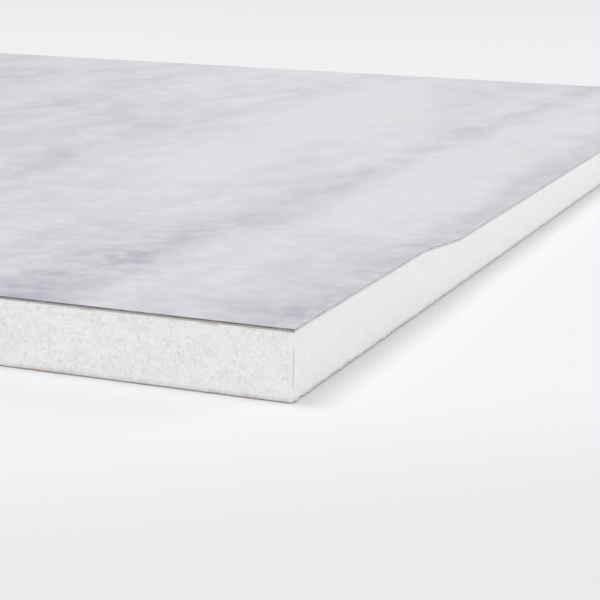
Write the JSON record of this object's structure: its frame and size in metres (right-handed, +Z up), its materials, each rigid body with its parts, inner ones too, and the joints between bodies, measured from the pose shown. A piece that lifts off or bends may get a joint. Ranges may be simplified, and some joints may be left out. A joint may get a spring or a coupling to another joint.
{
  "type": "pre-sloped shower ramp board",
  "caption": "Flat rectangular foam board with a bonded waterproof fleece membrane on top; a level thick edge band ramps down to a thinner level field for tiling.",
  "frame": {"origin": "middle of the rectangular footprint, on the underside", "axes": "+X along the board's width, +Y from the thick front edge to the thin back edge, +Z up out of the membrane"},
  "size_m": [1.524, 1.219, 0.038],
  "materials": {
    "foam": "matte white bead foam, cut face with close-packed beads",
    "membrane": "matte light grey non-woven fleece, mottled, with a dark film at its cut edge"
  },
  "bodies": {
    "root": {"foam_core": "foam", "top_membrane": "membrane"}
  },
  "joints": []
}
